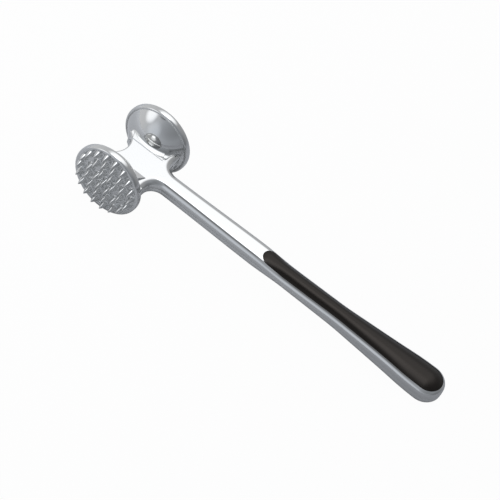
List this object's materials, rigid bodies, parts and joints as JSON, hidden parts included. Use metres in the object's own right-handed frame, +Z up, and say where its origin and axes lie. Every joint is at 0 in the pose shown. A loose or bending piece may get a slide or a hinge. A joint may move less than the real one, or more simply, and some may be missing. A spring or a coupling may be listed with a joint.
{
  "type": "meat mallet",
  "caption": "Meat mallet lying on a table: a plated metal bar with soft grip inlays joined by a flat neck to a pair of round striking discs, one finely and one coarsely spiked.",
  "frame": {"origin": "on the table, under the middle of the mallet's box as it lies on both disc rims and the lower grip", "axes": "+X from the head towards the end of the handle, +Y from the finely spiked face towards the coarsely spiked face, +Z up"},
  "size_m": [0.2494, 0.0598, 0.0464],
  "materials": {
    "plated_metal": "bright plated, mirror smooth",
    "soft_grip": "soft satin black"
  },
  "bodies": {
    "root": {"cast_body": "plated_metal", "front_grip_inlay": "soft_grip", "back_grip_inlay": "soft_grip"}
  },
  "joints": []
}
